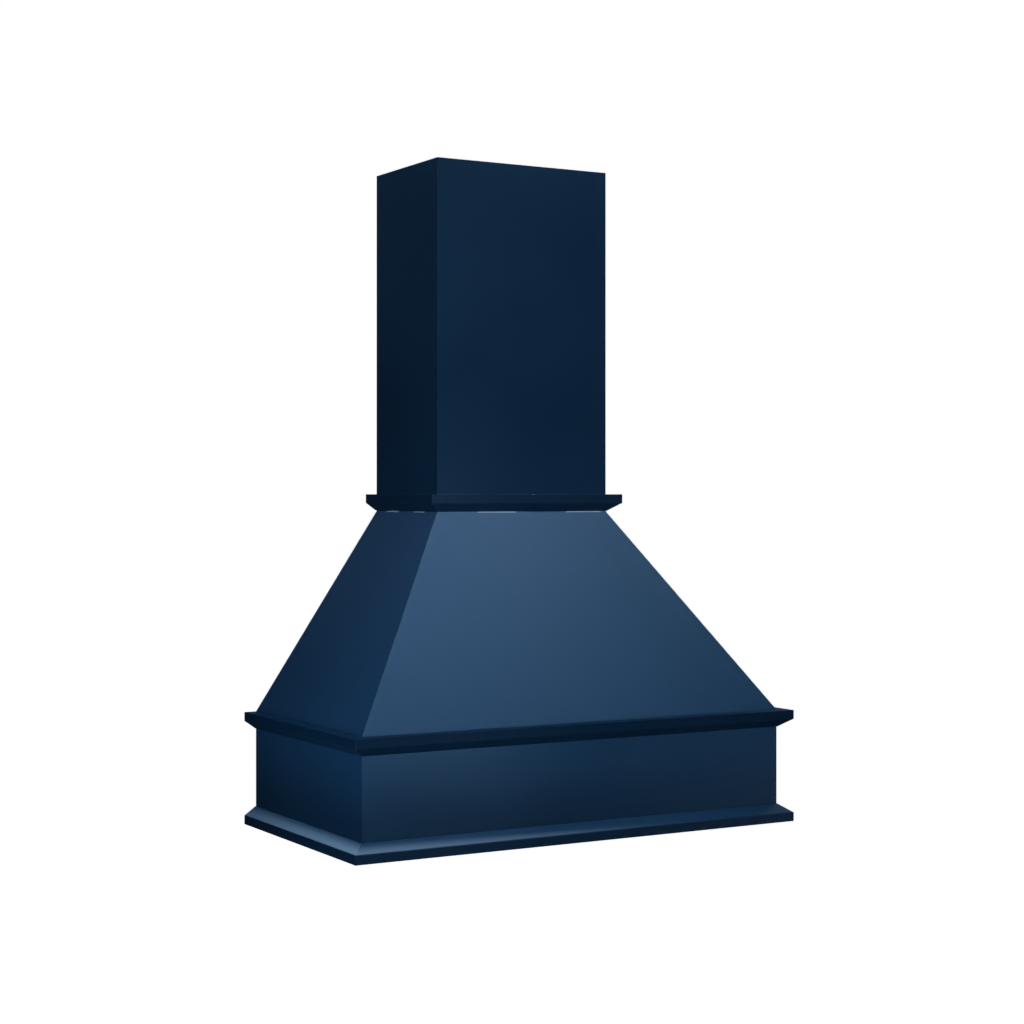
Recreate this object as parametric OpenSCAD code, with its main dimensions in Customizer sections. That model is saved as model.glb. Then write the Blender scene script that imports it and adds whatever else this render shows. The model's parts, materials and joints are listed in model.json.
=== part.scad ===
// Wooden range hood cover for a wall: a painted apron box, three mouldings, a tapered body
// and a stack that lifts off, held together by plain rails, cleats and pocket screws.
// Millimetres. X runs along the wall, the front faces -Y and Z is up. The origin is on the
// wall plane, at mid width, level with the bottom edge of the apron.

/* [Apron] */
// Width across the outside faces of the apron
apron_w = 914.4; // [760:0.1:1220]
// Depth from the wall to the front face of the apron
apron_d = 488; // [430:1:610]
// Height of the apron, up to the ledge of the middle moulding
apron_h = 221.5; // [190:0.5:320]
// Thickness of the apron boards
apron_t = 19; // [16:0.5:25]

/* [Taper] */
// Height of the tapered body
taper_h = 396; // [300:1:600]
// Thickness of the taper panels
taper_t = 12.7; // [9:0.1:16]

/* [Stack] */
// Width across the outside faces of the stack
stack_w = 384.5; // [320:0.5:600]
// Depth from the wall to the front face of the stack
stack_d = 268.8; // [240:0.1:400]
// Height of the stack above the tapered body
stack_h = 685.5; // [300:0.5:1200]
// Thickness of the stack boards
stack_t = 12.7; // [11:0.1:19]
// Gap between the stack and the cleats that locate its foot
stack_gap = 0.5; // [0.3:0.1:2]

/* [Mouldings] */
// How far the mouldings stand out from the boards
trim_p = 24.4; // [12:0.1:40]
// Height of the mouldings
trim_h = 34; // [24:0.5:60]
// Height of the upright band of the mouldings
trim_band = 17.5; // [8:0.5:22]
// Thickness of the thin edge where the slope of a moulding ends
trim_lip = 1; // [0.5:0.1:4]

/* [Frames] */
// Thickness of the rails that lie flat inside
frame_t = 19; // [16:0.5:25]
// Height of the insert frame's underside above the bottom edge
insert_recess = 38; // [20:1:60]
// Width of the rails of the insert frame
insert_rail_w = 57; // [55:0.5:80]
// Width of the rails under the foot of the taper
foot_rail_w = 57; // [55:0.5:80]
// Width of the deck rails at the top of the taper
deck_rail_w = 28; // [24:0.5:36]
// Distance between the insert's screws along the wall
insert_hole_pitch = 700; // [500:1:720]

/* [Wall rails] */
// Thickness of the rails against the wall
wall_rail_t = 19; // [16:0.5:25]
// Height of the wall rails of the hood
wall_rail_h = 89; // [70:0.5:110]
// Height of the wall rails of the stack
stack_rail_h = 70; // [50:0.5:100]
// Distance between the wall screws of the two lower rails, as studs stand
stud_pitch = 406.4; // [300:0.1:420]
// Distance between the wall screws of the upper rails
upper_pitch = 203.2; // [120:0.1:220]

/* [Cleats] */
// Height of the cleats that locate the foot of the stack
locator_h = 38; // [20:0.5:60]
// Thickness of the cleats inside the stack
cleat_t = 19; // [12:0.5:25]
// Height of the cleats at the top of the stack
top_cleat_h = 45; // [30:0.5:70]
// Leg of the corner blocks in the apron
apron_block = 32; // [20:0.5:45]
// Leg of the cleats along the hips of the taper
hip_block = 30; // [20:0.5:45]
// Leg of the corner blocks in the stack
stack_block = 25; // [15:0.5:40]

/* [Screws] */
// Radius of the clearance holes for the wall screws
wall_hole_r = 2.75; // [2:0.05:4]
// Radius of the pilot holes for the insert's screws
insert_hole_r = 1.5; // [1:0.05:2.5]
// Radius of the shank of the wood screws
screw_r = 2.1; // [1.5:0.05:2.5]
// Radius of the head of the wood screws
screw_head_r = 4.4; // [3:0.05:4.6]
// Radius of the pockets that the screws sit in
pocket_r = 4.8; // [4.7:0.05:6]
// Slope of the pockets, in degrees from the face of the rail
pocket_angle = 15; // [12:0.5:18]

/* [Hidden] */

// Finishes
paint = [0.10, 0.18, 0.28];
plywood = [0.84, 0.72, 0.54];
softwood = [0.87, 0.75, 0.55];
zinc = [0.72, 0.72, 0.70];

// How far each cut runs past the face that it leaves
overrun = 1;
// Faces round a screw or a screw hole
round_faces = 32;

// Heights above the bottom edge
insert_top = insert_recess + frame_t;
foot_base = apron_h - frame_t;
stack_base = apron_h + taper_h;
deck_base = stack_base - frame_t;
stack_top = stack_base + stack_h;

// A length past the size of the whole cover, for cutting blocks
reach = apron_w + apron_d + stack_top;

// Inside faces of the apron and the stack
apron_inner_x = apron_w / 2 - apron_t;
apron_inner_y = apron_t - apron_d;
stack_inner_x = stack_w / 2 - stack_t;
stack_inner_y = stack_t - stack_d;

// Lean of the taper, as run over rise, and the level thickness of its sloping panels
side_lean = (apron_w - stack_w) / 2 / taper_h;
front_lean = (apron_d - stack_d) / taper_h;
side_cut = taper_t * sqrt(1 + side_lean * side_lean);
front_cut = taper_t * sqrt(1 + front_lean * front_lean);
hip_line = [side_lean, front_lean, 1];

// Inner edges of the insert frame and the foot frame
insert_front_y = apron_inner_y + insert_rail_w;
insert_back_y = -wall_rail_t - insert_rail_w;
foot_front_y = apron_inner_y + foot_rail_w;

// Outer faces of the cleats that locate the stack
locator_x = stack_inner_x - stack_gap;
locator_y = stack_inner_y + stack_gap;

// Outlines of the mouldings, from the board outwards: slope below the band, and above it
slope_below = [[0, 0], [trim_lip, 0], [trim_p, trim_h - trim_band], [trim_p, trim_h], [0, trim_h]];
slope_above = [[0, 0], [trim_p, 0], [trim_p, trim_band], [trim_lip, trim_h], [0, trim_h]];

// Wood screws: head height, point length, point radius and the clearance in their holes
screw_head_h = 2;
screw_point = 4;
screw_point_r = 0.4;
screw_gap = 0.15;
// From the joint back to the head, and on to the point in thick and in thin boards
pocket_seat = 16;
long_bite = 16;
short_bite = 10;
// How deep the screws of the locating cleats reach into the deck
locator_bite = 15;

// Places of screws as shares of the stretch that they hold
width_shares = [-0.3, 0, 0.3];
end_shares = [0.25, 0.75];
middle_rail_shares = [-0.36, 0, 0.36];
deck_shares = [-0.42, 0, 0.42];

// Half width and front face of the taper at a height, with its faces set in
function side_x(z, inset) = apron_w / 2 - side_lean * (z - apron_h) - inset;
function front_y(z, inset) = front_lean * (z - apron_h) + inset - apron_d;
// Point at a share of the way from one value to another
function between(a, b, share) = a + (b - a) * share;
// How far behind the joint a pocket leaves the face of a rail of some thickness
function pocket_end(rail_t) =
    (rail_t / 2 + pocket_r * cos(pocket_angle)) / sin(pocket_angle) + overrun;

// The same shape on the left and mirrored to the right
module both_sides() {
    children();
    mirror([1, 0, 0]) children();
}

// Carries a (y, z) outline along X, centred
module across(width) {
    translate([-width / 2, 0, 0]) rotate([90, 0, 90]) linear_extrude(width) children();
}

// Carries an (x, z) outline from the wall to the front
module forward(depth) {
    rotate([90, 0, 0]) linear_extrude(depth) children();
}

// Everything on the side of a plane that its normal points to
module side_of_plane(point, normal) {
    translate(point)
        rotate([0, acos(normal[2] / norm(normal)), atan2(normal[1], normal[0])])
            translate([-reach, -reach, 0])
                cube([2 * reach, 2 * reach, reach]);
}

// Front board of a box with mitred corners
module box_front(w, d, t, z, h) {
    translate([0, 0, z])
        linear_extrude(h)
            polygon([[-w / 2, -d], [w / 2, -d], [w / 2 - t, t - d], [t - w / 2, t - d]]);
}

// Left board of the same box, which runs back to the wall
module box_side(w, d, t, z, h) {
    translate([0, 0, z])
        linear_extrude(h)
            polygon([[-w / 2, 0], [-w / 2, -d], [t - w / 2, t - d], [t - w / 2, 0]]);
}

// Moulding along the front of a box, mitred at both ends
module moulding_front(w, d, z, outline) {
    near = overrun - d;
    far = -d - trim_p - overrun;
    intersection() {
        translate([0, -d, z])
            mirror([0, 1, 0]) across(w + 2 * (trim_p + overrun)) polygon(outline);
        translate([0, 0, z - overrun])
            linear_extrude(trim_h + 2 * overrun)
                polygon([
                    [overrun - w / 2, near], [w / 2 - overrun, near],
                    [w / 2 + trim_p + overrun, far], [-w / 2 - trim_p - overrun, far]
                ]);
    }
}

// Moulding along the left of a box, from its front mitre to the wall
module moulding_side(w, d, z, outline) {
    near = overrun - w / 2;
    far = -w / 2 - trim_p - overrun;
    intersection() {
        translate([-w / 2, 0, z])
            mirror([1, 0, 0]) forward(d + trim_p + overrun) polygon(outline);
        translate([0, 0, z - overrun])
            linear_extrude(trim_h + 2 * overrun)
                polygon([
                    [near, overrun], [near, overrun - d],
                    [far, -d - trim_p - overrun], [far, overrun]
                ]);
    }
}

// Tapered block between two heights, its sloping faces set in from the outside of the taper
module taper_block(low, high, side_inset, front_inset) {
    intersection() {
        across(apron_w)
            polygon([
                [0, low], [front_y(low, front_inset), low],
                [front_y(high, front_inset), high], [0, high]
            ]);
        forward(apron_d)
            polygon([
                [-side_x(low, side_inset), low], [side_x(low, side_inset), low],
                [side_x(high, side_inset), high], [-side_x(high, side_inset), high]
            ]);
    }
}

// Keeps what lies in front of the left hip's mitre, or behind it
module hip_side(front) {
    mitre = cross([side_cut, front_cut, 0], hip_line);
    side_of_plane([-apron_w / 2, -apron_d, apron_h], front ? mitre : -mitre);
}

// Turns the Z axis along a pocket screw. The joint is the plane x = 0, the screw points
// to +X, and its pocket opens to +Z
module along_screw() {
    rotate([0, 90 + pocket_angle, 0]) children();
}

// Screw with a flat round head, seated at a distance behind the joint
module wood_screw(seat, bite) {
    rotate_extrude($fn = round_faces)
        polygon([
            [0, -seat - screw_head_h], [screw_head_r, -seat - screw_head_h],
            [screw_head_r, -seat], [screw_r, -seat], [screw_r, bite - screw_point],
            [screw_point_r, bite], [0, bite]
        ]);
}

// Hole for the shank of a screw, from a seat to past its point
module shank_hole(seat, bite) {
    translate([0, 0, -seat])
        cylinder(h = seat + bite + screw_gap, r = screw_r + screw_gap, $fn = round_faces);
}

// Pocket and shank hole in a rail of some thickness
module pocket_cut(rail_t) {
    along_screw() {
        translate([0, 0, -pocket_end(rail_t)])
            cylinder(h = pocket_end(rail_t) - pocket_seat, r = pocket_r, $fn = round_faces);
        shank_hole(pocket_seat + overrun, pocket_seat);
    }
}

// Pilot hole in the board that a pocket screw bites into
module pilot_cut(bite) {
    along_screw() shank_hole(pocket_seat, bite);
}

module pocket_screw(bite) {
    along_screw() wood_screw(pocket_seat, bite);
}

// Screws that point left out of the side rails of a flat frame
module at_side_joints(x, back_y, front_y, z) {
    for (share = end_shares)
        translate([-x, between(back_y, front_y, share), z])
            rotate([0, 0, 180]) children();
}

// Screws that point to the front, or to the wall, out of a rail across the cover
module at_cross_joints(y, z, to_wall) {
    for (share = width_shares)
        translate([2 * apron_inner_x * share, y, z])
            rotate([0, 0, to_wall ? 90 : -90]) children();
}

// Insert frame: pockets on top
module at_insert_sides() {
    at_side_joints(apron_inner_x, insert_back_y, insert_front_y, insert_recess + frame_t / 2)
        children();
}

module at_insert_front() {
    at_cross_joints(apron_inner_y, insert_recess + frame_t / 2, false) children();
}

module at_insert_back() {
    at_cross_joints(-wall_rail_t, insert_recess + frame_t / 2, true) children();
}

// Foot frame: pockets underneath
module at_foot_sides() {
    at_side_joints(apron_inner_x, -foot_rail_w, foot_front_y, foot_base + frame_t / 2)
        mirror([0, 0, 1]) children();
}

module at_foot_front() {
    at_cross_joints(apron_inner_y, foot_base + frame_t / 2, false)
        mirror([0, 0, 1]) children();
}

module at_foot_back_end() {
    translate([-apron_inner_x, -foot_rail_w / 2, foot_base + frame_t / 2])
        rotate([0, 0, 180]) mirror([0, 0, 1]) children();
}

// Left end of an upright wall rail: pockets on the face against the wall
module at_rail_end(x, z, h) {
    for (share = end_shares)
        translate([-x, -wall_rail_t / 2, z + h * share])
            mirror([1, 0, 0]) rotate([-90, 0, 0]) children();
}

// Lower edge of the middle wall rail, screwed down to the foot frame
module at_middle_rail() {
    for (share = middle_rail_shares)
        translate([2 * apron_inner_x * share, -wall_rail_t / 2, apron_h])
            rotate([0, 90, 0]) rotate([-90, 0, 0]) children();
}

// Upper edge of the top wall rail, screwed up to the deck frame
module at_top_rail() {
    for (share = deck_shares)
        translate([2 * side_x(stack_base, side_cut) * share, -wall_rail_t / 2, deck_base])
            rotate([0, -90, 0]) rotate([-90, 0, 0]) children();
}

// Upright screws of the cleats that locate the stack, at the level of the deck
module at_locator_front() {
    for (share = width_shares)
        translate([2 * locator_x * share, locator_y + cleat_t / 2, stack_base])
            mirror([0, 0, 1]) children();
}

module at_locator_left() {
    for (share = end_shares)
        translate([
            cleat_t / 2 - locator_x,
            between(-wall_rail_t - stack_gap, locator_y + cleat_t, share),
            stack_base
        ])
            mirror([0, 0, 1]) children();
}

// Two wall screw holes through a rail at a height
module wall_holes(pitch, z) {
    both_sides()
        translate([-pitch / 2, overrun, z])
            rotate([90, 0, 0])
                cylinder(h = wall_rail_t + 2 * overrun, r = wall_hole_r, $fn = round_faces);
}

// Two screw holes for the insert through a rail
module insert_holes(y) {
    both_sides()
        translate([-insert_hole_pitch / 2, y, insert_recess - overrun])
            cylinder(h = frame_t + 2 * overrun, r = insert_hole_r, $fn = round_faces);
}

// Apron

module apron_front() {
    color(paint) difference() {
        box_front(apron_w, apron_d, apron_t, 0, apron_h);
        at_insert_front() pilot_cut(long_bite);
        at_foot_front() pilot_cut(long_bite);
    }
}

module apron_side() {
    color(paint) difference() {
        box_side(apron_w, apron_d, apron_t, 0, apron_h);
        at_insert_sides() pilot_cut(long_bite);
        at_foot_sides() pilot_cut(long_bite);
        at_foot_back_end() pilot_cut(long_bite);
        at_rail_end(apron_inner_x, 0, wall_rail_h) pilot_cut(long_bite);
    }
}

module apron_left() {
    apron_side();
}

module apron_right() {
    mirror([1, 0, 0]) apron_side();
}

module apron_corner_block_left() {
    color(softwood)
        translate([-apron_inner_x, apron_inner_y, insert_top])
            linear_extrude(foot_base - insert_top)
                polygon([[0, 0], [apron_block, 0], [0, apron_block]]);
}

module apron_corner_block_right() {
    mirror([1, 0, 0]) apron_corner_block_left();
}

// Mouldings of the hood

module bottom_moulding_front() {
    color(paint) moulding_front(apron_w, apron_d, 0, slope_above);
}

module bottom_moulding_left() {
    color(paint) moulding_side(apron_w, apron_d, 0, slope_above);
}

module bottom_moulding_right() {
    mirror([1, 0, 0]) bottom_moulding_left();
}

module middle_moulding_front() {
    color(paint) moulding_front(apron_w, apron_d, apron_h - trim_h, slope_below);
}

module middle_moulding_left() {
    color(paint) moulding_side(apron_w, apron_d, apron_h - trim_h, slope_below);
}

module middle_moulding_right() {
    mirror([1, 0, 0]) middle_moulding_left();
}

// Taper

module taper_front() {
    color(paint) intersection() {
        across(apron_w)
            polygon([
                [front_y(apron_h, 0), apron_h], [front_y(apron_h, front_cut), apron_h],
                [front_y(stack_base, front_cut), stack_base], [front_y(stack_base, 0), stack_base]
            ]);
        hip_side(true);
        mirror([1, 0, 0]) hip_side(true);
    }
}

module taper_left() {
    color(paint) intersection() {
        forward(apron_d + overrun)
            polygon([
                [-side_x(apron_h, 0), apron_h], [-side_x(apron_h, side_cut), apron_h],
                [-side_x(stack_base, side_cut), stack_base], [-side_x(stack_base, 0), stack_base]
            ]);
        hip_side(false);
    }
}

module taper_right() {
    mirror([1, 0, 0]) taper_left();
}

module hip_cleat_left() {
    corner = [-side_x(apron_h, side_cut), front_y(apron_h, front_cut), apron_h];
    color(softwood) intersection() {
        taper_block(apron_h, deck_base, side_cut, front_cut);
        side_of_plane(corner + [hip_block, 0, 0], cross([1, -1, 0], hip_line));
    }
}

module hip_cleat_right() {
    mirror([1, 0, 0]) hip_cleat_left();
}

// Insert frame, which carries the ventilation insert

module insert_frame_front() {
    color(softwood) difference() {
        translate([-apron_inner_x, apron_inner_y, insert_recess])
            cube([2 * apron_inner_x, insert_rail_w, frame_t]);
        at_insert_front() pocket_cut(frame_t);
        insert_holes(apron_inner_y + insert_rail_w / 2);
    }
}

module insert_frame_back() {
    color(softwood) difference() {
        translate([-apron_inner_x, insert_back_y, insert_recess])
            cube([2 * apron_inner_x, insert_rail_w, frame_t]);
        at_insert_back() pocket_cut(frame_t);
        insert_holes(insert_back_y + insert_rail_w / 2);
    }
}

module insert_frame_left() {
    color(softwood) difference() {
        translate([-apron_inner_x, insert_front_y, insert_recess])
            cube([insert_rail_w, insert_back_y - insert_front_y, frame_t]);
        at_insert_sides() pocket_cut(frame_t);
    }
}

module insert_frame_right() {
    mirror([1, 0, 0]) insert_frame_left();
}

module insert_frame_screws() {
    color(zinc) {
        both_sides() at_insert_sides() pocket_screw(long_bite);
        at_insert_front() pocket_screw(long_bite);
        at_insert_back() pocket_screw(long_bite);
    }
}

// Foot frame, level with the top of the apron

module foot_frame_front() {
    color(softwood) difference() {
        translate([-apron_inner_x, apron_inner_y, foot_base])
            cube([2 * apron_inner_x, foot_rail_w, frame_t]);
        at_foot_front() pocket_cut(frame_t);
    }
}

module foot_frame_back() {
    color(softwood) difference() {
        translate([-apron_inner_x, -foot_rail_w, foot_base])
            cube([2 * apron_inner_x, foot_rail_w, frame_t]);
        both_sides() at_foot_back_end() pocket_cut(frame_t);
        at_middle_rail() pilot_cut(long_bite);
    }
}

module foot_frame_left() {
    color(softwood) difference() {
        translate([-apron_inner_x, foot_front_y, foot_base])
            cube([foot_rail_w, -foot_rail_w - foot_front_y, frame_t]);
        at_foot_sides() pocket_cut(frame_t);
    }
}

module foot_frame_right() {
    mirror([1, 0, 0]) foot_frame_left();
}

module foot_frame_screws() {
    color(zinc) {
        both_sides() at_foot_sides() pocket_screw(long_bite);
        both_sides() at_foot_back_end() pocket_screw(long_bite);
        at_foot_front() pocket_screw(long_bite);
    }
}

// Deck frame at the top of the taper, bevelled to fit inside the panels

module deck_part(low_corner, size) {
    intersection() {
        taper_block(deck_base, stack_base, side_cut, front_cut);
        translate(low_corner) cube(size);
    }
}

module deck_frame_front() {
    inner_y = front_y(stack_base, front_cut) + deck_rail_w;
    color(softwood) difference() {
        deck_part([-reach, -reach, deck_base - overrun],
            [2 * reach, reach + inner_y, frame_t + 2 * overrun]);
        at_locator_front() shank_hole(locator_h, locator_bite);
    }
}

module deck_frame_back() {
    color(softwood) difference() {
        deck_part([-reach, -wall_rail_t, deck_base - overrun],
            [2 * reach, reach, frame_t + 2 * overrun]);
        at_top_rail() pilot_cut(long_bite);
    }
}

module deck_frame_left() {
    front = front_y(stack_base, front_cut) + deck_rail_w;
    inner_x = side_x(stack_base, side_cut) - deck_rail_w;
    color(softwood) difference() {
        deck_part([-reach, front, deck_base - overrun],
            [reach - inner_x, -wall_rail_t - front, frame_t + 2 * overrun]);
        at_locator_left() shank_hole(locator_h, locator_bite);
    }
}

module deck_frame_right() {
    mirror([1, 0, 0]) deck_frame_left();
}

// Cleats that stand on the deck and locate the foot of the stack

module stack_locator_front() {
    color(softwood) difference() {
        translate([-locator_x, locator_y, stack_base])
            cube([2 * locator_x, cleat_t, locator_h]);
        at_locator_front() shank_hole(locator_h + overrun, overrun);
    }
}

module stack_locator_left() {
    front = locator_y + cleat_t;
    color(softwood) difference() {
        translate([-locator_x, front, stack_base])
            cube([cleat_t, -wall_rail_t - stack_gap - front, locator_h]);
        at_locator_left() shank_hole(locator_h + overrun, overrun);
    }
}

module stack_locator_right() {
    mirror([1, 0, 0]) stack_locator_left();
}

module stack_locator_screws() {
    color(zinc) {
        at_locator_front() wood_screw(locator_h, locator_bite);
        both_sides() at_locator_left() wood_screw(locator_h, locator_bite);
    }
}

// Wall rails of the hood

module wall_rail_bottom() {
    color(softwood) difference() {
        translate([-apron_inner_x, -wall_rail_t, 0])
            cube([2 * apron_inner_x, wall_rail_t, wall_rail_h]);
        wall_holes(stud_pitch, wall_rail_h / 2);
        both_sides() at_rail_end(apron_inner_x, 0, wall_rail_h) pocket_cut(wall_rail_t);
        at_insert_back() pilot_cut(long_bite);
    }
}

// Rail between the sloping side panels, against the wall
module sloping_wall_rail(z) {
    intersection() {
        taper_block(z, z + wall_rail_h, side_cut, front_cut);
        translate([-reach, -wall_rail_t, z - overrun])
            cube([2 * reach, reach, wall_rail_h + 2 * overrun]);
    }
}

module wall_rail_middle() {
    color(softwood) difference() {
        sloping_wall_rail(apron_h);
        wall_holes(stud_pitch, apron_h + wall_rail_h / 2);
        at_middle_rail() pocket_cut(wall_rail_t);
    }
}

module wall_rail_top() {
    color(softwood) difference() {
        sloping_wall_rail(deck_base - wall_rail_h);
        wall_holes(upper_pitch, deck_base - wall_rail_h / 2);
        at_top_rail() pocket_cut(wall_rail_t);
    }
}

module wall_rail_screws() {
    color(zinc) {
        both_sides() at_rail_end(apron_inner_x, 0, wall_rail_h) pocket_screw(long_bite);
        at_middle_rail() pocket_screw(long_bite);
        at_top_rail() pocket_screw(long_bite);
    }
}

// Stack

module stack_front() {
    color(paint) box_front(stack_w, stack_d, stack_t, stack_base, stack_h);
}

module stack_side() {
    color(paint) difference() {
        box_side(stack_w, stack_d, stack_t, stack_base, stack_h);
        at_stack_rails() pilot_cut(short_bite);
    }
}

module stack_left() {
    stack_side();
}

module stack_right() {
    mirror([1, 0, 0]) stack_side();
}

module collar_moulding_front() {
    color(paint) moulding_front(stack_w, stack_d, stack_base, slope_below);
}

module collar_moulding_left() {
    color(paint) moulding_side(stack_w, stack_d, stack_base, slope_below);
}

module collar_moulding_right() {
    mirror([1, 0, 0]) collar_moulding_left();
}

// Left ends of both wall rails of the stack
module at_stack_rails() {
    at_rail_end(stack_inner_x, stack_base, stack_rail_h) children();
    at_rail_end(stack_inner_x, stack_top - stack_rail_h, stack_rail_h) children();
}

module stack_rail(z) {
    color(softwood) difference() {
        translate([-stack_inner_x, -wall_rail_t, z])
            cube([2 * stack_inner_x, wall_rail_t, stack_rail_h]);
        wall_holes(upper_pitch, z + stack_rail_h / 2);
        both_sides() at_stack_rails() pocket_cut(wall_rail_t);
    }
}

module stack_rail_bottom() {
    stack_rail(stack_base);
}

module stack_rail_top() {
    stack_rail(stack_top - stack_rail_h);
}

module stack_rail_screws() {
    color(zinc) both_sides() at_stack_rails() pocket_screw(short_bite);
}

module stack_top_cleat_front() {
    color(softwood)
        translate([-stack_inner_x, stack_inner_y, stack_top - top_cleat_h])
            cube([2 * stack_inner_x, cleat_t, top_cleat_h]);
}

module stack_top_cleat_left() {
    front = stack_inner_y + cleat_t;
    color(softwood)
        translate([-stack_inner_x, front, stack_top - top_cleat_h])
            cube([cleat_t, -wall_rail_t - front, top_cleat_h]);
}

module stack_top_cleat_right() {
    mirror([1, 0, 0]) stack_top_cleat_left();
}

// Block in the left front corner, above the reach of the locating cleats
module stack_corner_block_left() {
    low = stack_base + locator_h + cleat_t;
    color(softwood)
        translate([-stack_inner_x, stack_inner_y, low])
            linear_extrude(stack_top - top_cleat_h - low)
                polygon([[0, 0], [stack_block, 0], [0, stack_block]]);
}

module stack_corner_block_right() {
    mirror([1, 0, 0]) stack_corner_block_left();
}

apron_front();
apron_left();
apron_right();
bottom_moulding_front();
bottom_moulding_left();
bottom_moulding_right();
middle_moulding_front();
middle_moulding_left();
middle_moulding_right();
taper_front();
taper_left();
taper_right();
insert_frame_front();
insert_frame_back();
insert_frame_left();
insert_frame_right();
foot_frame_front();
foot_frame_back();
foot_frame_left();
foot_frame_right();
deck_frame_front();
deck_frame_back();
deck_frame_left();
deck_frame_right();
stack_locator_front();
stack_locator_left();
stack_locator_right();
wall_rail_bottom();
wall_rail_middle();
wall_rail_top();
apron_corner_block_left();
apron_corner_block_right();
hip_cleat_left();
hip_cleat_right();
insert_frame_screws();
foot_frame_screws();
wall_rail_screws();
stack_locator_screws();
stack_front();
stack_left();
stack_right();
collar_moulding_front();
collar_moulding_left();
collar_moulding_right();
stack_rail_bottom();
stack_rail_top();
stack_corner_block_left();
stack_corner_block_right();
stack_top_cleat_front();
stack_top_cleat_left();
stack_top_cleat_right();
stack_rail_screws();
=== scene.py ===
"""Looks of the wooden range hood cover: satin navy paint outside, raw plywood and poplar inside."""
import json
import math

import bmesh
import bpy
import numpy as np
from mathutils import Matrix, Vector

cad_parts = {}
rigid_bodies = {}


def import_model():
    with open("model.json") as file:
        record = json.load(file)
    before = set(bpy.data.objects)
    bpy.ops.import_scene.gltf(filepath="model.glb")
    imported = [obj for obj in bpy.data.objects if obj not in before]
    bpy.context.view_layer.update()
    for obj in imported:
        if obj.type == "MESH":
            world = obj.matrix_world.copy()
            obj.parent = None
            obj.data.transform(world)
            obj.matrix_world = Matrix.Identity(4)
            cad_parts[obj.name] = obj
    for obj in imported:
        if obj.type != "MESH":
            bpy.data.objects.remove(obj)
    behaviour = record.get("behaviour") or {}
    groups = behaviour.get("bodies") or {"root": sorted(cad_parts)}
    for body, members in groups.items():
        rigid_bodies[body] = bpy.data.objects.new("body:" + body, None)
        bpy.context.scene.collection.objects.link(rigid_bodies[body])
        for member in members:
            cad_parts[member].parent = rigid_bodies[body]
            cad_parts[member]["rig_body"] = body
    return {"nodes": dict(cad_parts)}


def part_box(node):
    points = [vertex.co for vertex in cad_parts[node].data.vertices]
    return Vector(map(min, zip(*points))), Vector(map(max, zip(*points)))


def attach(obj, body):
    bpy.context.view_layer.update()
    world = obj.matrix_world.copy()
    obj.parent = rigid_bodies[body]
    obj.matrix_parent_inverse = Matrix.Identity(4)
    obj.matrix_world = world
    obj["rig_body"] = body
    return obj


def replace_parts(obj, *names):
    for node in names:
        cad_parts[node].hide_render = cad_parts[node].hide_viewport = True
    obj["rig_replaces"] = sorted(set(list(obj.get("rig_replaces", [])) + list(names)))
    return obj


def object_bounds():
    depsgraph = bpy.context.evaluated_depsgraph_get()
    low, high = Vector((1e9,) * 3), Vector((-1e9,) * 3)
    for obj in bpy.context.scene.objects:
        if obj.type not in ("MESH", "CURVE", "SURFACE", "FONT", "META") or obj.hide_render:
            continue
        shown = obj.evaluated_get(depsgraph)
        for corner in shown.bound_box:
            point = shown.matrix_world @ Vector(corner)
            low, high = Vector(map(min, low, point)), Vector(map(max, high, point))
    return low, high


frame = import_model()
CAD_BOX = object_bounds()
NODES = frame["nodes"]
BODY_OF = {name: node["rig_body"] for name, node in NODES.items()}
# Heights of the foot and the top of the whole cover
WHOLE_HEIGHT = (CAD_BOX[0].z, CAD_BOX[1].z)

# Camera, from a fit to the photo's edges
LENS = 70.35
SENSOR = 36.0
CAMERA_PLACE = (-1.984, -3.696, 0.6517)
CAMERA_YAW = math.radians(-29.98)
CAMERA_SHIFT = (-0.0083, -0.0174)
CAMERA_REACH = 200

# Directions
UP = Vector((0, 0, 1))
TO_WALL = Vector((0, 1, 0))
OUTWARDS = {"front": Vector((0, -1, 0)), "left": Vector((-1, 0, 0)), "right": Vector((1, 0, 0))}

# The studio. The floor is as far down as it is under a cover that hangs over a range
STUDIO_SIZE = 60
BACKDROP_ROWS = 24
FLOOR_Z = -1.6
SKY = (1.0, 1.0, 1.0)
SKY_STRENGTH = 0.008
STAGE_GREY = (0.86, 0.86, 0.86)
STAGE_PALE = (0.9, 0.9, 0.9)
STAGE_GLOW = (1.0, 1.0, 1.0)
STAGE_ROUGHNESS = 0.9
SPECKLE_SCALE = 30.0

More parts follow.
